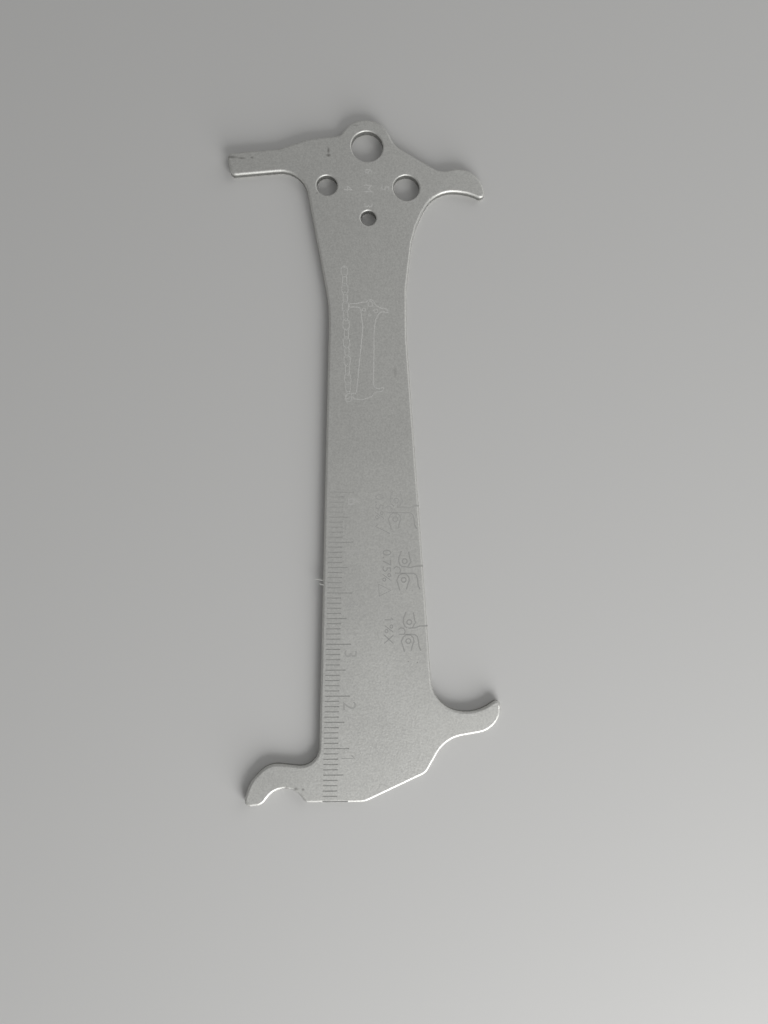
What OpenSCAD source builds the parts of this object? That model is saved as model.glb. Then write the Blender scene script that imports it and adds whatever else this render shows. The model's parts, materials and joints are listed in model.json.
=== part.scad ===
// Chain wear gauge: one flat stamped plate with rounded edges.
// The outline is a ring of corners, each rounded by its own arc. It is worked out from a datum where
// the slanted ruler edge meets the straight foot edge: x runs to the right, y runs up the ruler.
// The finished plate lies on its flat underside, centred on its own outline.

/* [Sheet] */
// Thickness of the sheet
plate_t = 1.8; // [1.2:0.1:3]
// Radius that breaks the outer edge, on both faces
edge_r = 0.5; // [0.2:0.05:0.6]
// Radius that breaks the mouth of each gauge hole, on both faces
mouth_r = 0.3; // [0.1:0.05:0.5]

/* [Body] */
// Slant of the ruler edge, in degrees
ruler_lean = 0.54; // [0:0.01:2]
// Slant of the right edge, in degrees
right_lean = 4.25; // [2:0.05:6]
// Width of the body at the seat of the lower hook
foot_w = 22.2; // [19:0.1:26]
// How far the foot edge lies below the ruler's zero
foot_drop = 0.25; // [0:0.05:0.5]
// Height of the bend in the ruler edge
waist_left_y = 97.8; // [85:0.1:105]
// Radius of the bend in the ruler edge
waist_left_r = 31; // [10:1:60]
// Height of the bend in the right edge
waist_right_y = 101.8; // [90:0.1:106]
// Radius of the bend in the right edge
waist_right_r = 80; // [30:1:120]

/* [Head] */
// Distance from the ruler edge to the middle of the largest hole
head_x = 8.3; // [6:0.1:11]
// Height of the middle of the largest hole above the ruler's zero
head_y = 132; // [126:0.1:140]
// Radius of the boss round the largest hole
hub_r = 5.5; // [4.8:0.05:6.5]
// Height of the middle of that boss above the middle of the hole
hub_lift = 0.4; // [0:0.05:0.8]
// How far the boss sits left of the hole
hub_shift = 0.25; // [0:0.05:0.6]
// Height of the left shoulder above the largest hole, where it meets the boss
shoulder_rise = 2.2; // [1.5:0.05:3]
// How far the left shoulder reaches out from the largest hole
shoulder_reach = 12.25; // [10:0.05:14]
// Radius of the left shoulder
shoulder_r = 6; // [2:0.1:10]
// How far the right side of the neck stands out from the right hole of the middle pair
neck_out = 1.85; // [1.5:0.05:3.5]
// How far the neck's right bend lies below the largest hole
neck_drop = 16.8; // [14:0.1:20]
// Radius of that bend
neck_r = 21; // [10:0.5:40]

/* [Blade] */
// How far the blade's end reaches out from the largest hole
blade_reach = 27.8; // [24:0.1:34]
// Width of the blade
blade_w = 4.8; // [3.5:0.1:6]
// Slope of the blade, in degrees
blade_tilt = 7.2; // [3:0.1:12]
// Distance from the largest hole down to the root of the blade's lower edge
blade_drop = 5.3; // [4.5:0.1:7]
// How far the root of the blade's lower edge stands out from the left hole of the middle pair
blade_out = 4.9; // [4:0.1:6.5]
// Radius between the blade and the ruler edge
blade_root_r = 5.5; // [2:0.1:8]
// Radius at the corners of the blade's end
blade_end_r = 1.1; // [0.7:0.1:2]

/* [Upper hook] */
// How far the upper hook's tip reaches out from the largest hole
horn_reach = 24.9; // [22:0.05:29]
// How far that tip lies below the largest hole
horn_tip_drop = 10.85; // [9:0.05:13]
// Radius of the tips of both hooks
tip_r = 1; // [0.6:0.05:1.2]
// How far the crown of the hook lies below the largest hole
horn_crown_drop = 2.5; // [1.5:0.05:4]
// Radius of the crown of the hook
horn_crown_r = 5.5; // [3:0.1:7]
// How far the valley behind the hook lies below the largest hole
horn_valley_drop = 5.05; // [4:0.05:6]
// How far the root of the hook lies below the largest hole
horn_root_drop = 8.8; // [7.5:0.05:10]
// Radius of the seat at the root of the hook
horn_root_r = 6.8; // [3:0.1:9]
// Radius of the seat near the tip of the hook
horn_seat_r = 8.9; // [4:0.1:12]

/* [Lower hook] */
// How far the lower hook's tip stands out from the ruler edge's foot
hook_reach = 35.55; // [32:0.05:40]
// Height of that tip above the foot edge
hook_tip_y = 19.95; // [18.5:0.05:23]
// Height of the hook's seat, at its root
hook_seat_y = 18.2; // [16:0.05:19]
// Radius of the seat at the root of the hook
hook_root_r = 6.4; // [3:0.1:8]
// Radius of the seat near the tip of the hook
hook_seat_r = 8.6; // [4:0.1:12]
// Height of the hook's outer corner
hook_back_y = 13.6; // [11:0.05:15]
// Radius of that outer corner
hook_back_r = 5.3; // [3:0.1:6.5]
// Radius of the sweep under the hook
hook_under_r = 6.8; // [3:0.1:9]
// Distance from the ruler edge's foot to the corner under the hook
heel_reach = 20.95; // [19:0.05:24]
// Height of that corner
heel_y = 5.2; // [4:0.05:7]

/* [Claw] */
// How far the claw's tip stands out from the ruler edge's foot
claw_reach = 14.5; // [13:0.05:18]
// How far the claw's tip reaches below the foot edge
claw_tip_drop = 1.1; // [0:0.05:2]
// Radius of the claw's tip
claw_tip_r = 1.1; // [0.6:0.05:1.2]
// Height of the claw's upper edge at the body
claw_top_y = 6.3; // [5.5:0.05:8]
// Radius between the claw and the ruler edge
claw_root_r = 3.6; // [1:0.1:5]
// How far the claw's hump stands out from the ruler edge's foot
claw_hump_reach = 9.6; // [8:0.05:11]
// Height of the claw's hump
claw_hump_y = 7.3; // [6.5:0.05:9]
// Radius of the claw's hump
claw_hump_r = 4.6; // [2:0.1:5.5]
// Radius of the outer side of the claw
claw_outer_r = 7; // [4:0.1:9]
// Height that the notch under the claw is cut to
notch_y = 4.8; // [4:0.05:5.6]
// Radius of the notch under the claw
notch_r = 4; // [2:0.1:5]
// Distance from the ruler edge's foot to the middle of the notch
notch_x = 6.7; // [6:0.05:8]

/* [Gauge holes] */
// Bore that passes a 6 mm screw
bore_6 = 6.55; // [6.1:0.05:6.8]
// Bore that passes a 5 mm screw
bore_5 = 5.4; // [5.1:0.05:5.8]
// Bore that passes a 4 mm screw
bore_4 = 4.25; // [4.05:0.05:4.8]
// Bore that passes a 3 mm screw
bore_3 = 3.15; // [3.05:0.05:3.6]
// Distance from the largest hole down to the middle pair of holes
pair_drop = 8.65; // [7.5:0.05:10]
// Distance between the middle pair of holes
pair_span = 16.35; // [13:0.05:17.5]
// Distance from the largest hole down to the smallest one
small_drop = 15.35; // [13:0.05:18]
// How far the smallest hole sits right of the largest one
small_shift = 0.4; // [0:0.05:1]

/* [Engraving] */
// Depth of the engraved lines
mark_depth = 0.05; // [0.02:0.01:0.1]
// Width of the engraved lines
mark_w = 0.2; // [0.1:0.05:0.4]
// Highest millimetre of the ruler
ruler_end = 60; // [40:1:80]
// Length of a one millimetre line
mark_short = 2.8; // [1.5:0.1:3.2]
// Length of a five millimetre line
mark_mid = 3.9; // [2:0.1:4.4]
// Length of a ten millimetre line
mark_long = 4.9; // [3:0.1:6]
// Gap between the ruler edge and the lines
mark_inset = 0.85; // [0.6:0.05:1.5]

/* [Hidden] */

// Smoothness: degrees of arc between outline points, and steps round the broken edge
arc_step = 9;
rim_steps = 3;
bore_fn = 96;
cut_over = 1;

// Straight sides of the body, as x at a height
function ruler_x(y) = y * tan(ruler_lean);
function right_x(y) = foot_w - (y - hook_seat_y) * tan(right_lean);

// Gauge holes: middle and bore
hole_6 = [head_x, head_y];
hole_5 = [head_x + pair_span / 2, head_y - pair_drop];
hole_4 = [head_x - pair_span / 2, head_y - pair_drop];
hole_3 = [head_x + small_shift, head_y - small_drop];
HOLES = [[hole_6, bore_6], [hole_5, bore_5], [hole_4, bore_4], [hole_3, bore_3]];

// The neck and the roots of the blade keep clear of the middle pair of holes
neck_right = pair_span / 2 + neck_out;
blade_root = pair_span / 2 + blade_out;

// Blade: a straight bar that slopes away from the head, with a step above its root
blade_end_slant = 0.4;
blade_step_run = 4.3;
blade_step_r = 2.3;
blade_dir = [-cos(blade_tilt), -sin(blade_tilt)];
blade_up = [-sin(blade_tilt), cos(blade_tilt)];
blade_foot = [head_x - blade_root, head_y - blade_drop];
blade_len = (blade_reach - blade_root) / cos(blade_tilt);
blade_low = blade_foot + blade_len * blade_dir;
blade_high = blade_low + blade_w * blade_up + blade_end_slant * blade_dir;
blade_step = blade_foot + blade_step_run * blade_dir + blade_w * blade_up;

// Boss: the corner whose two sides touch the boss's circle, and the corners at its two feet
hub = [head_x - hub_shift, head_y + hub_lift];
hub_apex_shift = 1;
hub_apex_rise = 2.27 * hub_r;
hub_side_rise = 0.55;
hub_side_r = 4.9;
hub_foot_shift = 0.15;
hub_foot_r = 1.1;
shoulder_fall = 1;

// Upper hook: places of its corners, back from the tip or out from the neck
horn_seat_back = 3.85;
horn_seat_dip = 0.5;
horn_crown_back = 1.8;
horn_root_out = 4.1;
horn_valley_out = 7.1;
horn_valley_r = 4.5;

// Lower hook: places of its corners from the tip and the heel
hook_seat_back = 4.85;
hook_seat_dip = 1.9;
hook_back_out = 0.3;
heel_r = 2.5;
under_out = 3.75;
under_drop = 1.9;

// Foot edge and claw: places of the corners beside the notch
foot_end_x = 9;
foot_end_r = 4;
foot_start_gap = 0.4;
foot_start_r = 1;
claw_side_in = 1.35;
notch_lip_rise = 0.45;
notch_lip_r = 2.3;

// The outline's corners, anticlockwise: [x, y, radius]
function corner(p, r) = [p[0], p[1], r];
CORNERS = [
    corner(blade_high, blade_end_r),
    corner(blade_low, blade_end_r),
    corner(blade_foot, blade_root_r),
    corner([ruler_x(waist_left_y), waist_left_y], waist_left_r),
    corner([ruler_x(claw_top_y), claw_top_y], claw_root_r),
    corner([-claw_hump_reach, claw_hump_y], claw_hump_r),
    corner([claw_side_in - claw_reach, claw_hump_y / 2], claw_outer_r),
    corner([-claw_reach, -claw_tip_drop], claw_tip_r),
    corner([-notch_x - notch_r, notch_lip_rise - claw_tip_drop], notch_lip_r),
    corner([-notch_x, notch_y], notch_r),
    corner([foot_start_gap + notch_r - notch_x, -foot_drop], foot_start_r),
    corner([foot_end_x, -foot_drop], foot_end_r),
    corner([heel_reach, heel_y], heel_r),
    corner([heel_reach + under_out, hook_back_y - under_drop], hook_under_r),
    corner([hook_reach + hook_back_out, hook_back_y], hook_back_r),
    corner([hook_reach, hook_tip_y], tip_r),
    corner([hook_reach - hook_seat_back, hook_seat_y - hook_seat_dip], hook_seat_r),
    corner([foot_w, hook_seat_y], hook_root_r),
    corner([right_x(waist_right_y), waist_right_y], waist_right_r),
    corner([head_x + neck_right, head_y - neck_drop], neck_r),
    corner([head_x + neck_right + horn_root_out, head_y - horn_root_drop], horn_root_r),
    corner([head_x + horn_reach - horn_seat_back, head_y - horn_root_drop - horn_seat_dip], horn_seat_r),
    corner([head_x + horn_reach, head_y - horn_tip_drop], tip_r),
    corner([head_x + horn_reach - horn_crown_back, head_y - horn_crown_drop], horn_crown_r),
    corner([head_x + pair_span / 2 + horn_valley_out, head_y - horn_valley_drop], horn_valley_r),
    corner([head_x + hub_r, head_y + hub_side_rise], hub_side_r),
    corner(hub + [hub_apex_shift, hub_apex_rise], hub_r),
    corner([hub[0] - hub_r + hub_foot_shift, head_y + shoulder_rise], hub_foot_r),
    corner([head_x - shoulder_reach, head_y + shoulder_rise - shoulder_fall], shoulder_r),
    corner(blade_step, blade_step_r),
];

// How far a corner's arc reaches along its sides, and the radius that its sides leave room for
side_use = 0.995;
function unit(v) = v / norm(v);
function at(i) = let (c = CORNERS[(i + len(CORNERS)) % len(CORNERS)]) [c[0], c[1]];
function half_angle(i) = acos(unit(at(i - 1) - at(i)) * unit(at(i + 1) - at(i))) / 2;
function arc_reach(i) = let (n = len(CORNERS)) CORNERS[(i + n) % n][2] / tan(half_angle(i));
function side_share(i) = min(1, side_use * norm(at(i + 1) - at(i)) / (arc_reach(i) + arc_reach(i + 1)));
function fit_r(i) = CORNERS[i][2] * min(side_share(i - 1), side_share(i));

// Points of one rounded corner: [place, inward direction]
function rounded(i) =
    let (
        p = at(i), u = unit(at(i - 1) - p), w = unit(at(i + 1) - p), half = half_angle(i), r = fit_r(i),
        middle = p + unit(u + w) * r / sin(half),
        first = p + u * r / tan(half) - middle,
        turn = sign(cross(p - at(i - 1), at(i + 1) - p)),
        sweep = turn * (180 - 2 * half), steps = max(1, ceil(abs(sweep) / arc_step))
    )
    [for (k = [0:steps])
        let (a = atan2(first[1], first[0]) + sweep * k / steps, out = [cos(a), sin(a)])
        [middle + r * out, -turn * out]];

EDGE = [for (i = [0:len(CORNERS) - 1]) each rounded(i)];
XS = [for (e = EDGE) e[0][0]];
YS = [for (e = EDGE) e[0][1]];
centre = [(min(XS) + max(XS)) / 2, (min(YS) + max(YS)) / 2];

// Section of the rounded rim: [distance in from the outline, height]
function quarter(k) = 90 * k / rim_steps;
RIM = concat(
    [for (k = [0:rim_steps]) [edge_r * (1 - sin(quarter(k))), edge_r * (1 - cos(quarter(k)))]],
    [for (k = [0:rim_steps]) [edge_r * (1 - cos(quarter(k))), plate_t - edge_r * (1 - sin(quarter(k)))]]);

// The rim all round the plate, as one closed ring
module rim() {
    n = len(EDGE);
    m = len(RIM);
    points = [for (e = EDGE, s = RIM) concat(e[0] + s[0] * e[1], s[1])];
    faces = [for (i = [0:n - 1], j = [0:m - 1])
        let (a = i * m + j, b = i * m + (j + 1) % m, c = (i + 1) % n * m + j, d = (i + 1) % n * m + (j + 1) % m)
        each [[a, b, c], [b, d, c]]];
    polyhedron(points, faces, convexity = 10);
}

// The flat middle of the plate, inside the rim
module core() {
    linear_extrude(plate_t) polygon([for (e = EDGE) e[0] + edge_r * e[1]]);
}

// A hole with both its mouths rounded
module gauge_hole(bore) {
    translate([0, 0, -cut_over]) cylinder(d = bore, h = plate_t + 2 * cut_over, $fn = bore_fn);
    for (side = [0, 1])
        translate([0, 0, side * plate_t]) mirror([0, 0, side]) rotate_extrude($fn = bore_fn)
            difference() {
                translate([0, -cut_over]) square([bore / 2 + mouth_r, cut_over + mouth_r]);
                translate([bore / 2 + mouth_r, mouth_r]) circle(r = mouth_r, $fn = bore_fn);
            }
}

// One engraved line of the ruler, running in from the ruler edge
module ruler_mark(n) {
    length = n % 10 == 0 ? mark_long : n % 5 == 0 ? mark_mid : mark_short;
    translate([ruler_x(n) + mark_inset, n - mark_w / 2, plate_t - mark_depth])
        cube([length, mark_w, cut_over]);
}

module gauge_plate() {
    color("silver") translate(-centre)
        difference() {
            union() {
                core();
                rim();
            }
            for (h = HOLES) translate(h[0]) gauge_hole(h[1]);
            for (n = [1:ruler_end]) ruler_mark(n);
        }
}

gauge_plate();
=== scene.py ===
# %% [markdown]
# # Chain wear gauge
# A flat plate of aluminium, stamped in one stroke, tumbled so that its edges go round, blasted with
# fine grit and anodised clear. Its scales are marked by a laser. This script dresses the imported solid
# and sets up its picture, lying on a pale table. Lengths are in millimetres until a piece is finished.

import json
from math import cos, pi, radians, sin, tan

import bmesh
import bpy
from mathutils import Matrix, Vector


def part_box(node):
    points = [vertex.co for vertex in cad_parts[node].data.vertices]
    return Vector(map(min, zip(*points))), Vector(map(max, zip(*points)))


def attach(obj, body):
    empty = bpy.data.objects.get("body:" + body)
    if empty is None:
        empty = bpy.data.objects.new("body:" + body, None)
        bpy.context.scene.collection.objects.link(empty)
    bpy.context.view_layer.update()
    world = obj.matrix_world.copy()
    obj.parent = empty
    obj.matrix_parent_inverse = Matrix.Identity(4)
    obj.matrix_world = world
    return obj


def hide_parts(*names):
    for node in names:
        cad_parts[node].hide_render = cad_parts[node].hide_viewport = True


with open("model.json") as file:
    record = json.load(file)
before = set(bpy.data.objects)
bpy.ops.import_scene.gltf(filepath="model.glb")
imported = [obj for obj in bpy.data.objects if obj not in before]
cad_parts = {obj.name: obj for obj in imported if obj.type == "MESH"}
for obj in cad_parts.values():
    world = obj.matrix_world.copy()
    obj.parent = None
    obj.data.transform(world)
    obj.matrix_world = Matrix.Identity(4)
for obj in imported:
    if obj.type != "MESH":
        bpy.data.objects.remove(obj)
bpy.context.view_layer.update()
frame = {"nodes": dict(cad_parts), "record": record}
MM = 0.001
low, high = (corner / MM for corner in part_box("gauge_plate"))
plate_t = high.z - low.z
half_t = plate_t / 2
print("solid, in mm:", [round(c, 2) for c in high - low])

# %% [markdown]
# ## Places on the plate
# The tool's maker measures everything from the ruler: its zero is at the foot of the ruler edge. Places
# could be read off the solid one by one, but then each would need its own number in the solid's frame.
# The four screw holes are mounts of the record, so the largest of them ties the ruler to the solid.

# %% Datum and holes
HOLES = {m["name"][-1]: m for m in frame["record"]["mounts"] if m["kind"] == "bore"}
hole_at = {key: Vector(m["pos_m"]) / MM for key, m in HOLES.items()}
hole_r = {key: m["dims"]["r_mm"] for key, m in HOLES.items()}
mouth_r = (plate_t - HOLES["6"]["dims"]["length_mm"]) / 2
largest_hole = Vector((8.3, 132))
datum = hole_at["6"].xy - largest_hole


def on_plate(x, y):
    """A place given from the ruler's zero, in the frame of the solid."""
    return Vector((datum.x + x, datum.y + y))


print("ruler's zero:", [round(c, 2) for c in datum], "hole mouths:", round(mouth_r, 2))

# %% [markdown]
# ## Outline
# The stamping die cuts one closed outline. It could be drawn again point by point, but it is taken from
# the solid itself: a copy of its mesh is cut at half its height and only the cut is kept. So this plate
# can't drift away from the CAD one. The holes are cleared from the cut, and are made again below.

# %% Outline from the solid
merge_gap = 1e-4
cut_gap = 1e-5
hole_margin = 0.2
straight_turn = radians(0.05)

outline = bmesh.new()
outline.from_mesh(frame["nodes"]["gauge_plate"].data)
bmesh.ops.scale(outline, vec=(1 / MM,) * 3, verts=outline.verts)
bmesh.ops.remove_doubles(outline, verts=outline.verts, dist=merge_gap)
bmesh.ops.bisect_plane(
    outline,
    geom=outline.verts[:] + outline.edges[:] + outline.faces[:],
    dist=cut_gap,
    plane_co=(0, 0, low.z + half_t),
    plane_no=(0, 0, 1),
    clear_inner=True,
    clear_outer=True,
)
hole_verts = [
    v
    for v in outline.verts
    if any((v.co.xy - hole_at[key].xy).length < hole_r[key] + hole_margin for key in HOLES)
]
bmesh.ops.delete(outline, geom=hole_verts, context="VERTS")
bmesh.ops.edgeloop_fill(outline, edges=outline.edges[:])
straight = [v for v in outline.verts if v.calc_edge_angle(1) < straight_turn]
bmesh.ops.dissolve_verts(outline, verts=straight)
bmesh.ops.translate(outline, vec=(0, 0, -low.z - half_t), verts=outline.verts)
outline.faces.ensure_lookup_table()
if outline.faces[0].normal.z < 0:
    bmesh.ops.reverse_faces(outline, faces=outline.faces[:])
print("outline:", len(outline.verts), "points in", len(outline.faces), "face")

# %% [markdown]
# ## Rims and holes
# Tumbling breaks every edge to a round one. A bevel modifier could round the outline. Here the rim is
# climbed in small insets, because the height and width of each step then follow a quarter circle that is
# written down. A drill turns, so half a hole's wall and its mouth are one profile, spun about its axis.

# %% Helpers for rims and holes
mouth_steps = 5
hole_turns = 96


def quarter(radius, steps):
    """Steps of a quarter circle that leaves a wall: how far in and how far up each one has gone."""
    angles = [pi / 2 * k / steps for k in range(steps + 1)]
    return [(radius * (1 - cos(a)), radius * sin(a)) for a in angles]


def spin_hole(bm, middle, bore_r):
    """Half a hole's wall, from the plate's middle to its rounded mouth."""
    profile = [(bore_r, 0)]
    profile += [(bore_r + x, half_t - mouth_r + z) for x, z in quarter(mouth_r, mouth_steps)]
    verts = [bm.verts.new((middle.x + r, middle.y, z)) for r, z in profile]
    edges = [bm.edges.new(pair) for pair in zip(verts, verts[1:])]
    bmesh.ops.spin(
        bm,
        geom=verts + edges,
        cent=(middle.x, middle.y, 0),
        axis=(0, 0, 1),
        angle=2 * pi,
        steps=hole_turns,
        use_merge=True,
    )


print("steps of a hole's mouth:", mouth_steps, "turns:", hole_turns)

# %% [markdown]
# ## Plate
# Both rims of the plate are taken to be alike. The whole height could be built at once, but it is enough
# to raise half a plate from its middle: a straight wall, then the small insets that climb the rim. The
# holes are added, the flat face is filled in between, and a mirror makes the other half.

# %% Half a plate, then the whole
edge_r = 0.5
edge_steps = 6
level_gap = 1e-3

body = outline.copy()
body.faces.ensure_lookup_table()
middle_face = body.faces[0]
raised = bmesh.ops.extrude_face_region(body, geom=[middle_face])["geom"]
cap = next(g for g in raised if isinstance(g, bmesh.types.BMFace))
bmesh.ops.delete(body, geom=[middle_face], context="FACES_ONLY")
bmesh.ops.translate(body, vec=(0, 0, half_t - edge_r), verts=cap.verts)
rim = quarter(edge_r, edge_steps)
for before, after in zip(rim, rim[1:]):
    bmesh.ops.inset_region(body, faces=[cap], thickness=after[0] - before[0], use_even_offset=True)
    bmesh.ops.translate(body, vec=(0, 0, after[1] - before[1]), verts=cap.verts)
bmesh.ops.delete(body, geom=[cap], context="FACES_ONLY")
for key in HOLES:
    spin_hole(body, hole_at[key], hole_r[key])
top_edges = [
    e
    for e in body.edges
    if len(e.link_faces) < 2 and min(v.co.z for v in e.verts) > half_t - level_gap
]
bmesh.ops.triangle_fill(body, use_beauty=True, edges=top_edges, normal=(0, 0, 1))
bmesh.ops.mirror(
    body,
    geom=body.verts[:] + body.edges[:] + body.faces[:],
    matrix=Matrix.Identity(4),
    merge_dist=level_gap,
    axis="Z",
)
bmesh.ops.remove_doubles(body, verts=body.verts, dist=merge_gap)
bmesh.ops.recalc_face_normals(body, faces=body.faces[:])
open_edges = [e for e in body.edges if len(e.link_faces) != 2]
print("plate:", len(body.faces), "faces,", len(open_edges), "open edges")

# %% [markdown]
# ## Sheared wall
# The die tears the last part of the cut, so the upright wall between the two rims is rougher than the
# faces, and it is given a darker grey. It could be a piece of its own, but it is the same metal: its
# faces only get another material's slot, the third on the plate.

# %% Give the upright walls their slot
wall_slot = 2
wall_tilt = 0.05

walls = [f for f in body.faces if abs(f.normal.z) < wall_tilt]
for face in walls:
    face.material_index = wall_slot
print("sheared walls:", len(walls), "faces")

# %% [markdown]
# ## From millimetres to a piece
# Every piece ends the same way: moved to its height, scaled to metres, put on the body that carries
# it and shaded smooth, with edges kept sharp where two faces meet at a real angle. The place stays in
# the mesh and the object at the origin, so that patterns in the materials don't slide.

# %% Finish a piece
sharp_angle = radians(40)


def finish_piece(name, bm, height, *materials):
    """Turns a bmesh in millimetres into a piece that rides on the part."""
    bmesh.ops.translate(bm, vec=(0, 0, height), verts=bm.verts)
    bmesh.ops.scale(bm, vec=(MM,) * 3, verts=bm.verts)
    mesh = bpy.data.meshes.new(name)
    bm.to_mesh(mesh)
    bm.free()
    piece = bpy.data.objects.new(name, mesh)
    bpy.context.scene.collection.objects.link(piece)
    for material in materials:
        mesh.materials.append(material)
    mesh.shade_smooth()
    mesh.set_sharp_from_angle(angle=sharp_angle)
    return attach(piece, "root")


print("edges stay sharp from", round(sharp_angle, 2), "radians")

# %% [markdown]
# ## Materials
# All the finishes here are built from a few nodes: a noise that reads the Object coordinates, and a ramp
# that turns it into a range of greys. The two helpers make a material and such a ramp, so that each
# finish below only states its own numbers.

# %% Helpers for materials
noise_low = 0.3
noise_high = 0.7
warmth = 0.96


def new_material(name):
    """A material and its shader, with a function that adds a node and one that links two."""
    material = bpy.data.materials.new(name)
    material.use_nodes = True
    tree = material.node_tree

    def add(kind, **values):
        node = tree.nodes.new("ShaderNode" + kind)
        for key, value in values.items():
            if hasattr(node, key):
                setattr(node, key, value)
            else:
                node.inputs[key].default_value = value
        return node

    return material, tree.nodes["Principled BSDF"], add, tree.links.new


def ramp(add, low_end, high_end):
    """A ramp between two (place, grey) ends, with a little less blue than red."""
    node = add("ValToRGB")
    for element, (place, grey) in zip(node.color_ramp.elements, (low_end, high_end)):
        element.position = place
        element.color = (grey, grey, grey * warmth, 1)
    return node


print("noise runs from", noise_low, "to", noise_high)

# %% [markdown]
# ## Scuffs
# This plate has been knocked at the blade's end, on the head and in the notch. Each knock could be a
# dent in the mesh, but in the picture it is only a dark spot. So each is a soft oval in the material,
# and the strongest one at a point wins.

# %% Scuffs
# From the ruler's zero: x, y, reach across and along the plate, and strength
SCUFFS = {
    "blade end, corner": (-20.3, 128.5, 0.4, 1.2, 0.5),
    "blade end, left": (-19.4, 128.65, 1.6, 0.4, 0.65),
    "blade end, right": (-17.4, 128.5, 1.1, 0.3, 0.6),
    "blade, single": (-15.3, 128.7, 0.35, 0.3, 0.7),
    "head, upper speck": (0.33, 130.8, 0.3, 0.9, 0.75),
    "head, lower speck": (0.36, 129.75, 0.55, 0.45, 0.8),
    "boss": (5.9, 136.4, 0.8, 0.25, 0.35),
    "neck": (-1.9, 121.6, 0.25, 0.25, 0.4),
    "neck, scratch": (14.4, 84.4, 0.5, 1.6, 0.25),
    "notch, left": (-6.1, 2.6, 0.5, 0.35, 0.8),
    "notch, middle": (-4.3, 2.4, 0.6, 0.35, 0.7),
    "notch, right": (-2.9, 2.3, 0.35, 0.3, 0.7),
    "by the lower reading, left": (17.3, 26.7, 0.2, 0.2, 0.5),
    "by the lower reading, right": (19.1, 26.5, 0.2, 0.2, 0.5),
}


def scuff_mask(add, link, place):
    """The largest of all scuffs at a point: 0 on clean metal, up to each scuff's own strength."""
    total = None
    for x, y, reach_x, reach_y, strength in SCUFFS.values():
        middle = on_plate(x, y)
        spot = add("Mapping")
        spot.inputs["Scale"].default_value = (1 / (reach_x * MM), 1 / (reach_y * MM), 0)
        spot.inputs["Location"].default_value = (-middle.x / reach_x, -middle.y / reach_y, 0)
        link(place.outputs["Object"], spot.inputs["Vector"])
        ball = add("TexGradient", gradient_type="SPHERICAL")
        link(spot.outputs["Vector"], ball.inputs["Vector"])
        scaled = add("Math", operation="MULTIPLY")
        scaled.inputs[1].default_value = strength
        link(ball.outputs["Fac"], scaled.inputs[0])
        if total is None:
            total = scaled
            continue
        larger = add("Math", operation="MAXIMUM")
        link(total.outputs["Value"], larger.inputs[0])
        link(scaled.outputs["Value"], larger.inputs[1])
        total = larger
    return total


print("scuffs:", len(SCUFFS))

# %% [markdown]
# ## Blasted aluminium
# Fine grit leaves a matt skin of tiny pits that glitter a little, and clear anodising seals it. A plain
# grey would look like plastic. So it is a metal with a broad highlight, with a fine bump and a change
# of tone for the pits, and a slow change of roughness from handling.

# %% Blasted aluminium
pit_scale = 3000.0
pit_strength = 0.55
pit_depth_m = 0.00005
handling_scale = 45.0
skin_rough = (0.53, 0.6)
skin_tone = (0.6, 0.72)
grime = (0.16, 0.15, 0.14, 1)


def blasted_aluminium():
    """The skin of both faces and of the rims, with the scuffs mixed in."""
    material, shader, add, link = new_material("blasted_aluminium")
    shader.inputs["Metallic"].default_value = 1
    place = add("TexCoord")
    pits = add("TexNoise", Scale=pit_scale, Detail=2.0, Roughness=0.6)
    bump = add("Bump", Strength=pit_strength, Distance=pit_depth_m)
    handling = add("TexNoise", Scale=handling_scale, Detail=4.0, Roughness=0.6)
    rough = ramp(add, (noise_low, skin_rough[0]), (noise_high, skin_rough[1]))
    tone = ramp(add, (noise_low, skin_tone[0]), (noise_high, skin_tone[1]))
    dark = add("MixRGB", blend_type="MIX", Color2=grime)
    for noise in (pits, handling):
        link(place.outputs["Object"], noise.inputs["Vector"])
    link(pits.outputs["Fac"], bump.inputs["Height"])
    link(bump.outputs["Normal"], shader.inputs["Normal"])
    link(handling.outputs["Fac"], rough.inputs["Fac"])
    link(rough.outputs["Color"], shader.inputs["Roughness"])
    link(pits.outputs["Fac"], tone.inputs["Fac"])
    link(scuff_mask(add, link, place).outputs["Value"], dark.inputs["Fac"])
    link(tone.outputs["Color"], dark.inputs["Color1"])
    link(dark.outputs["Color"], shader.inputs["Base Color"])
    return material


metal = blasted_aluminium()
print("material:", metal.name)

# %% [markdown]
# ## Sheared metal
# The torn wall is the same metal, but the tears scatter the light, and its grey is darker than the
# skin's.
# It could be a darker copy of the skin. It has its own coarser noise instead, because no grit reaches
# the wall.

# %% Sheared metal
tear_scale = 1800.0
wall_rough = 0.62
wall_tone = (0.26, 0.38)


def sheared_metal():
    """The wall that the die tears, between the two rims and in the holes."""
    material, shader, add, link = new_material("sheared_metal")
    shader.inputs["Metallic"].default_value = 1
    shader.inputs["Roughness"].default_value = wall_rough
    place = add("TexCoord")
    tears = add("TexNoise", Scale=tear_scale, Detail=2.0)
    tone = ramp(add, (noise_low, wall_tone[0]), (noise_high, wall_tone[1]))
    link(place.outputs["Object"], tears.inputs["Vector"])
    link(tears.outputs["Fac"], tone.inputs["Fac"])
    link(tone.outputs["Color"], shader.inputs["Base Color"])
    return material


sheared = sheared_metal()
print("material:", sheared.name)

# %% [markdown]
# ## Marked skin, with painted light and shade
# The laser turns the anodised skin into a matt grey. On the bright lower end it shows dark and on the
# dim neck it shows pale, because the light falls unevenly along the plate. One grey for all marks would
# miss that, so each of these finishes has painted light and shade: a ramp of grey along the plate, where
# 0 is its foot and 1 its head.

# %% Marked skin
mark_rough = 0.75


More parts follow.
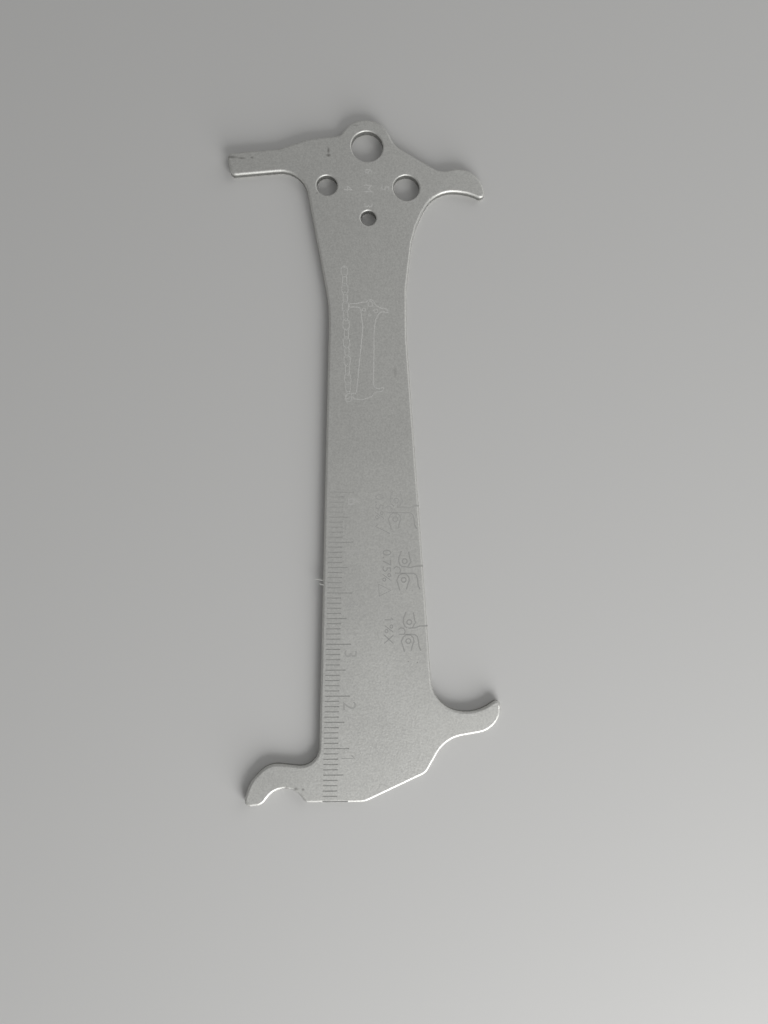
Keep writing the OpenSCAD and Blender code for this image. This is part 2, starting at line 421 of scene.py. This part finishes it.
def laser_mark(name, foot_end, head_end):
    """Matt grey of the marked skin, which changes between two (place, grey) ends along the plate as
    painted light and shade.
    """
    material, shader, add, link = new_material(name)
    shader.inputs["Roughness"].default_value = mark_rough
    place = add("TexCoord")
    split = add("SeparateXYZ")
    along = add("MapRange")
    along.inputs["From Min"].default_value = low.y * MM
    along.inputs["From Max"].default_value = high.y * MM
    tone = ramp(add, foot_end, head_end)
    link(place.outputs["Object"], split.inputs["Vector"])
    link(split.outputs["Y"], along.inputs["Value"])
    link(along.outputs["Result"], tone.inputs["Fac"])
    link(tone.outputs["Color"], shader.inputs["Base Color"])
    return material


# Painted light and shade: both finishes grow paler from the foot to the head
mark = laser_mark("laser_mark", (0.36, 0.36), (0.62, 0.57))
ruler_mark = laser_mark("ruler_mark", (0.2, 0.4), (0.57, 0.54))
# The band at zero lies on the rounded edge that faces the light, so its grey is painted shade, darker
# than the other marks to hold back that light
zero_mark_painted_shade = laser_mark("zero_mark_painted_shade", (0, 0.26), (1, 0.26))
print("materials:", [m.name for m in (mark, ruler_mark, zero_mark_painted_shade)])

# %% [markdown]
# ## Ruler lines
# The laser burns the sixty lines a little deeper than the rest, so they are real cuts and not a picture
# of a ruler. One box stands for each millimetre. The fifth and tenth ones are longer, and all of them
# follow the ruler edge, which leans a little.

# %% Boxes for the ruler lines
ruler_end = 60
ruler_lean = radians(0.54)
line_w = 0.2
line_depth = 0.05
line_inset = 0.85
LINE_LENGTHS = {10: 4.9, 5: 3.9, 1: 2.8}


def ruler_x(y):
    """How far the ruler edge has leant to the right at a height."""
    return y * tan(ruler_lean)


def line_length(n):
    """The length of the line at a millimetre."""
    return next(length for every, length in LINE_LENGTHS.items() if n % every == 0)


lines = bmesh.new()
for n in range(1, ruler_end + 1):
    length = line_length(n)
    middle = on_plate(ruler_x(n) + line_inset + length / 2, n)
    size = Matrix.Diagonal((length, line_w, 2 * line_depth, 1))
    bmesh.ops.create_cube(lines, size=1, matrix=Matrix.Translation((*middle, half_t)) @ size)
print("ruler lines:", len(lines.verts) // 8)

# %% [markdown]
# ## Flat faces that look flat
# Smooth shading leans a flat face's corners towards the round rim, which can show as wedges of light.
# Flat shading would cure that, but then the rims would show their steps. So the corners of the flat
# faces are turned straight up or down by hand, and only those of the rims keep their own.

# %% Helper for flat faces
flat_tilt = radians(1)


def flat_face_normals(mesh):
    """Corner normals that keep both flat faces flat right up to the rounded rims."""
    level_of = {}
    for face in mesh.polygons:
        if abs(face.normal.z) > cos(flat_tilt):
            level_of.update((v, face.normal.z) for v in face.vertices)
    normals = [corner.vector.copy() for corner in mesh.corner_normals]
    for face in mesh.polygons:
        for corner, v in zip(face.loop_indices, face.vertices):
            side = level_of.get(v, 0)
            if side * face.normal.z > cos(sharp_angle):
                normals[corner] = Vector((0, 0, 1 if side > 0 else -1))
    return normals


def evaluated_mesh(thing):
    """A mesh of an object as it stands, with its modifiers or its thickness worked out."""
    return bpy.data.meshes.new_from_object(
        thing.evaluated_get(bpy.context.evaluated_depsgraph_get())
    )


print("a face is flat within", round(flat_tilt, 4), "radians")

# %% [markdown]
# ## Cut the lines
# The boxes are taken out of the plate with an exact Boolean, because sixty cuts can't be inset by hand
# into a face of long triangles. The walls of each cut keep the marked skin of the boxes. The finished
# plate then takes the place of the plain solid.

# %% Cut the ruler lines
plate = finish_piece("gauge_plate_skin", body, half_t + low.z, metal, ruler_mark, sheared)
cutter = finish_piece("ruler_cutter", lines, half_t + low.z, ruler_mark)
boolean = plate.modifiers.new("ruler", "BOOLEAN")
boolean.object = cutter
boolean.operation = "DIFFERENCE"
boolean.solver = "EXACT"
boolean.material_mode = "TRANSFER"
engraved = evaluated_mesh(plate)
plate.modifiers.clear()
plate.data = engraved
bpy.data.objects.remove(cutter)
engraved.shade_smooth()
engraved.set_sharp_from_angle(angle=sharp_angle)
normals = flat_face_normals(engraved)
engraved.normals_split_custom_set(normals)
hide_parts("gauge_plate")
print("engraved plate:", len(engraved.polygons), "faces,", len(engraved.materials), "materials")

# %% [markdown]
# ## Laser marks
# Numerals and signs have no depth that a finger feels: the laser only changes the skin. Each is a
# film a hundredth of a millimetre high, as a cut this shallow would only cost faces. A line of the
# drawings is a round wire along its route, pressed flat, so crossing lines melt into each other.
# Words run down the plate, tops to the right.

# %% Helpers for marks
film_h = 0.012
stroke_w = 0.26
glyph_steps = 3
ring_points = 20
# The numeral 1: how far its flag's tip lies from the middle, as shares of its height
ONE_FLAG = (0.26, 0.24)


def curve_mesh(curve):
    """The mesh of a text or a curve, still lying where it was drawn."""
    holder = bpy.data.objects.new(curve.name, curve)
    bpy.context.scene.collection.objects.link(holder)
    mesh = evaluated_mesh(holder)
    bpy.data.objects.remove(holder)
    return mesh


def add_text(bm, text, middle, height, length=None):
    """Text with its middle at a place, turned a quarter clockwise."""
    curve = bpy.data.curves.new("text", "FONT")
    curve.body = text
    curve.extrude = film_h / 2
    curve.resolution_u = glyph_steps
    glyphs = curve_mesh(curve)
    xs = [v.co.x for v in glyphs.vertices]
    ys = [v.co.y for v in glyphs.vertices]
    tall = height / (max(ys) - min(ys))
    wide = length / (max(xs) - min(xs)) if length else tall
    centred = Matrix.Translation((-(min(xs) + max(xs)) / 2, -(min(ys) + max(ys)) / 2, 0))
    turn = Matrix.Rotation(-pi / 2, 4, "Z")
    size = Matrix.Diagonal((wide, tall, 1, 1))
    glyphs.transform(Matrix.Translation((*middle, 0)) @ turn @ size @ centred)
    bm.from_mesh(glyphs)
    bpy.data.meshes.remove(glyphs)


def add_stroke(bm, route, width=stroke_w, closed=False, thick=film_h):
    """A drawn line along a route of places."""
    curve = bpy.data.curves.new("stroke", "CURVE")
    curve.dimensions = "3D"
    curve.bevel_depth = width / 2
    curve.bevel_resolution = 1
    curve.use_fill_caps = True
    spline = curve.splines.new("POLY")
    spline.points.add(len(route) - 1)
    spline.use_cyclic_u = closed
    for point, place in zip(spline.points, route):
        point.co = (place[0], place[1], 0, 1)
    wire = curve_mesh(curve)
    wire.transform(Matrix.Diagonal((1, 1, thick / width, 1)))
    bm.from_mesh(wire)
    bpy.data.meshes.remove(wire)


def add_one(bm, middle, height):
    """The numeral 1 with its flag, turned like the text, since the font's own is a bare bar."""
    flag = (middle[0] + ONE_FLAG[0] * height, middle[1] + ONE_FLAG[1] * height)
    top = (middle[0] + height / 2, middle[1])
    foot = (middle[0] - height / 2, middle[1])
    add_stroke(bm, [flag, top, foot])


def ring_route(middle, radius, points=ring_points):
    """The route of a circle."""
    turns = [2 * pi * k / points for k in range(points)]
    return [(middle[0] + radius * cos(a), middle[1] + radius * sin(a)) for a in turns]


def shifted(middle, route):
    """A route that was drawn about zero, moved to its place."""
    return [(middle[0] + x, middle[1] + y) for x, y in route]


def finish_marks(name, bm, material=mark):
    """Finishes a film of marks, half sunk in the upper face."""
    piece = finish_piece(name, bm, high.z, material)
    print(name, "faces:", len(piece.data.polygons))


print("films:", film_h, "mm high, strokes:", stroke_w, "mm wide")

# %% [markdown]
# ### Ruler numerals
# The ruler counts centimetres, each numeral just below its long line. They could be strokes like the
# signs, but text is shorter and the font's plain strokes are near enough. Only the 1 is drawn.

# %% Ruler numerals
numeral_h = 2.5
numeral_out = 5.7
numeral_drop = 1.9

numerals = bmesh.new()
add_one(numerals, on_plate(numeral_out, 10 - numeral_drop), numeral_h)
for n in range(2, ruler_end // 10 + 1):
    y = 10 * n
    add_text(numerals, str(n), on_plate(ruler_x(y) + numeral_out, y - numeral_drop), numeral_h)
finish_marks("ruler_numerals", numerals, ruler_mark)

# %% [markdown]
# ### The ruler's zero
# The ruler's first long line falls on the rounded foot edge, where it shows as a dark band. A cut would
# run out of the rim there, so it is a stroke that lies in the curve of the rim.

# %% Ruler zero
zero_drop = 0.1
zero_y = 0.03
zero_w = 0.36
zero_t = 0.2
zero_route = [on_plate(line_inset, zero_y), on_plate(line_inset + LINE_LENGTHS[10], zero_y)]

zero_line = bmesh.new()
add_stroke(zero_line, zero_route, zero_w, thick=zero_t)
finish_piece("ruler_zero", zero_line, high.z - zero_drop, zero_mark_painted_shade)
print("ruler_zero:", LINE_LENGTHS[10], "mm long")

# %% [markdown]
# ### Hole labels
# Each gauge hole has the size of its screw beside it, round a common letter for the metric thread. They
# are as faint as the top of the ruler, so they share its finish and its painted light and shade.

# %% Hole labels
label_h = 1.7
HOLE_LABELS = {
    "6": (8.68, 126.6),
    "M": (8.6, 122.9),
    "4": (4.5, 122.8),
    "5": (12.1, 123.1),
    "3": (8.65, 119.3),
}

labels = bmesh.new()
for text, (x, y) in HOLE_LABELS.items():
    add_text(labels, text, on_plate(x, y), label_h)
finish_marks("hole_labels", labels, ruler_mark)

# %% [markdown]
# ### Wear readings
# Where the link stops on the tapering edge tells the wear. Each of the three limits has its figure and
# a sign: a tick for good, a triangle for soon and a cross for worn. The figures are text, pressed to
# the length that they have on the plate. The signs could be text too, but as strokes each of their
# corners can be put where the photo shows it.

# %% Wear readings
text_h = 1.7
sign_w = 0.22
# Middle and length of each text
WEAR_TEXTS = {
    "0.5%": (11.4, 57.1, 5.1),
    "0.75%": (12.95, 45.4, 6.3),
    "%": (13.46, 33, 1.75),
}
ONE_AT = (13.46, 34.75)
TICK = [(11.2, 53.6), (10.65, 53.15), (13.5, 51.8)]
WARNING = [(11.35, 41.75), (11.5, 39.4), (13.8, 40.55)]
CROSS = [[(12.55, 31.8), (14.35, 30.15)], [(12.55, 30.15), (14.35, 31.8)]]

readings = bmesh.new()
for text, (x, y, length) in WEAR_TEXTS.items():
    add_text(readings, text, on_plate(x, y), text_h, length)
add_stroke(readings, [on_plate(*p) for p in TICK], sign_w)
add_stroke(readings, [on_plate(*p) for p in WARNING], sign_w, closed=True)
add_one(readings, on_plate(*ONE_AT), text_h)
for bar in CROSS:
    add_stroke(readings, [on_plate(*p) for p in bar], sign_w)
finish_marks("wear_readings", readings)

# %% [markdown]
# ### Wear drawings
# Beside each reading is a drawing of two rollers, the links round them and the hook between them. The
# three differ only in how far the hook reaches and in the line that runs out to the edge. So the rollers
# and links are drawn once, about the lower roller, and placed three times.

# %% Wear drawings
# Each drawing: its lower roller, how far further its hook reaches, and its line out to the edge
DRAWINGS = {
    "good": ((14.58, 54.65), 1.75, [(0.3, 2.4), (2.95, 2.4), (3.7, 2.65), (4.75, 2.75)]),
    "soon": ((16.32, 42.62), 0.75, [(-0.3, 2.65), (1.3, 2.45), (2.4, 2.7), (3.85, 2.8)]),
    "worn": ((17.29, 30.63), 0, [(0, 2.5), (1.35, 2.6), (2.25, 2.95), (3.8, 3)]),
}
ROLLER_UP = (0.17, 3.7)
ROLLER_R = 0.47
LINKS = [
    [(-0.48, 5.7), (-0.93, 4.55), (-1, 3.65), (-0.77, 3), (-0.3, 2.55)],
    [(0.96, 5.6), (1.2, 4.2), (1.42, 3.65), (1.12, 3.15), (0.82, 2.6)],
    [(-1.78, 1.3), (-0.84, 1.3), (-0.6, 1.85), (-0.9, 2.45), (-1.5, 2.6), (-1.95, 2.25)],
    [(-0.74, -2.1), (-1.13, -0.8), (-1.36, -0.1), (-1, 0.8), (-0.46, 1.2), (0.45, 1.2)],
    [(0.57, -1.85), (0.8, -0.9), (1.13, -0.05), (0.98, 0.65), (0.45, 1.15)],
]
HOOK_START = (-0.75, 1.3)
HOOK = [(1.2, 1.3), (1.73, 0.97), (2, 0.15), (2.12, -1.05), (2.5, -1.85)]

drawings = bmesh.new()
for roller, reach, edge_line in DRAWINGS.values():
    middle = on_plate(*roller)
    upper = middle + Vector(ROLLER_UP)
    for centre in (middle, upper):
        add_stroke(drawings, ring_route(centre, ROLLER_R), closed=True)
    for link_route in LINKS:
        add_stroke(drawings, shifted(middle, link_route))
    hook_route = [HOOK_START] + [(x + reach, y) for x, y in HOOK]
    add_stroke(drawings, shifted(middle, hook_route))
    add_stroke(drawings, shifted(middle, edge_line))
finish_marks("wear_drawings", drawings)

# %% [markdown]
# ### How to hold it
# A small drawing shows the tool beside a chain. The tool could be drawn by hand, but it is the plate's
# own outline, made small, turned a little and left as a thin line, so it fits the real shape. The chain
# is a row of links, broad and narrow by turns, with a roller at each joint.

# %% Small drawing of the tool
small_scale = 0.15
small_turn = radians(-4.4)
small_head = (9.25, 98.5)
small_line = 0.17
small_hole_line = 0.136
small_hole_points = 14

figure = bmesh.new()
to_small = (
    Matrix.Translation((*on_plate(*small_head), 0))
    @ Matrix.Rotation(small_turn, 4, "Z")
    @ Matrix.Scale(small_scale, 4)
    @ Matrix.Translation((-hole_at["6"].x, -hole_at["6"].y, 0))
)
small_outline = [(to_small @ v.co).xy for v in outline.faces[0].verts]
add_stroke(figure, small_outline, small_line, closed=True)
for key in HOLES:
    middle = (to_small @ Vector((*hole_at[key].xy, 0))).xy
    hole_route = ring_route(middle, hole_r[key] * small_scale, small_hole_points)
    add_stroke(figure, hole_route, small_hole_line, closed=True)
outline.free()
print("small drawing:", len(small_outline), "points")

# %% Small drawing of the chain
chain_top = Vector((3.85, 106.2))
chain_foot = Vector((5, 78.3))
chain_links = 15
chain_line = 0.13
link_widths = (1.25, 0.85)
roller_r = 0.2
roller_points = 10
# A link's corners: shares of its length, and of half its width
LINK_SHAPE = ((0, -0.6), (0.2, -1), (0.8, -1), (1, -0.6), (1, 0.6), (0.8, 1), (0.2, 1), (0, 0.6))

step = (chain_foot - chain_top) / chain_links
along = step.normalized()
across = Vector((-along.y, along.x))
for k in range(chain_links):
    start = on_plate(*chain_top) + step * k
    half_w = link_widths[k % 2] / 2
    route = [start + step * a + across * half_w * b for a, b in LINK_SHAPE]
    add_stroke(figure, route, chain_line, closed=True)
    add_stroke(figure, ring_route(start, roller_r, roller_points), chain_line, closed=True)
finish_marks("chain_drawing", figure)

# %% [markdown]
# ## Burr
# Two slivers of metal still hang on the ruler edge, just past its fourth centimetre. They could be
# spots in the material like the scuffs, but they reach out past the edge. So they are short wires that
# run out over it, a little below the face, in the plate's own finish.

# %% Burr on the ruler edge
burr_drop = 0.15
burr_w = 0.26
burr_t = 0.15
BURRS = [
    [(-1.05, 42.72), (-0.45, 42.62), (0.35, 42.42)],
    [(-0.3, 41.82), (0.1, 41.6), (0.6, 41.56)],
]

burr = bmesh.new()
for route in BURRS:
    add_stroke(burr, [on_plate(*p) for p in route], burr_w, thick=burr_t)
finish_piece("edge_burr", burr, high.z - burr_drop, metal)
print("burrs:", len(BURRS))

# %% [markdown]
# ## Table
# The tool lies on a pale matt table, which is only there to catch its shadow. One large square does it,
# wide enough to reach past every view of the part.

# %% Table
table_tone = (0.595, 0.593, 0.582, 1)
table_rough = 0.85
table_half = 2000

table = bmesh.new()
bmesh.ops.create_grid(table, x_segments=1, y_segments=1, size=table_half * MM)
table_mesh = bpy.data.meshes.new("table")
table.to_mesh(table_mesh)
table.free()
table_top = bpy.data.objects.new("table", table_mesh)
bpy.context.scene.collection.objects.link(table_top)
table_top.location.z = low.z * MM
table_material, table_shader, *_ = new_material("table")
table_shader.inputs["Base Color"].default_value = table_tone
table_shader.inputs["Roughness"].default_value = table_rough
table_mesh.materials.append(table_material)
print("table:", 2 * table_half, "mm wide")

# %% [markdown]
# ## Light
# A low, broad window stands below the plate and to its right. The edges that face it shine and the
# far ones drop a soft shadow, which shows the plate's thickness better than a light from above. A
# weaker window beyond the head and the grey room fill the rest.

# %% Light
# Place in metres, side in metres and power in watts
WINDOWS = {
    "low window": (Vector((0.2, -0.38, 0.16)), 0.3, 2.15),
    "far window": (Vector((0.36, 0.26, 0.28)), 0.4, 0.48),
}
room_tone = (0.285, 0.285, 0.285, 1)

for name, (place, size, power) in WINDOWS.items():
    lamp = bpy.data.lights.new(name, "AREA")
    lamp.shape = "SQUARE"
    lamp.size = size
    lamp.energy = power
    window = bpy.data.objects.new(name, lamp)
    window.location = place
    window.rotation_euler = (-place).to_track_quat("-Z", "Y").to_euler()
    bpy.context.scene.collection.objects.link(window)

room = bpy.data.worlds.new("room")
room.use_nodes = True
room.node_tree.nodes["Background"].inputs["Color"].default_value = room_tone
bpy.context.scene.world = room
bpy.context.scene.view_settings.view_transform = "Standard"
print("lights:", sorted(WINDOWS))

# %% [markdown]
# ## Camera
# The picture looks down from above the plate's lower half, a hand's length away, with the wide lens of a
# phone. The ruler's lines and the hole rims fix where the eye was. Both the eye and the point that it
# looks at are given from the largest hole, so the view stays with the part.

# %% Camera
camera_from_hole = Vector((-3.6, -88.5, 154.43))
aim_from_hole = Vector((4.11, -75.79, 0))
camera_roll = radians(0.4)
focal_px = 770
picture_long_px = 1024
sensor = 36
near_clip_m = 0.01

anchor = Vector((*hole_at["6"].xy, 0))
eye = anchor + camera_from_hole
aim = anchor + aim_from_hole
back = (eye - aim).normalized()
right = Vector((0, 1, 0)).cross(back).normalized()
level = Matrix((right, back.cross(right), back)).transposed()
camera = bpy.data.cameras.new("camera")
camera.sensor_width = sensor
camera.lens = sensor * focal_px / picture_long_px
camera.clip_start = near_clip_m
viewer = bpy.data.objects.new("camera", camera)
viewer.matrix_world = (
    Matrix.Translation(eye * MM) @ level.to_4x4() @ Matrix.Rotation(camera_roll, 4, "Z")
)
bpy.context.scene.collection.objects.link(viewer)
bpy.context.scene.camera = viewer
print("camera, in mm:", [round(c, 2) for c in eye], "lens:", round(camera.lens, 2))
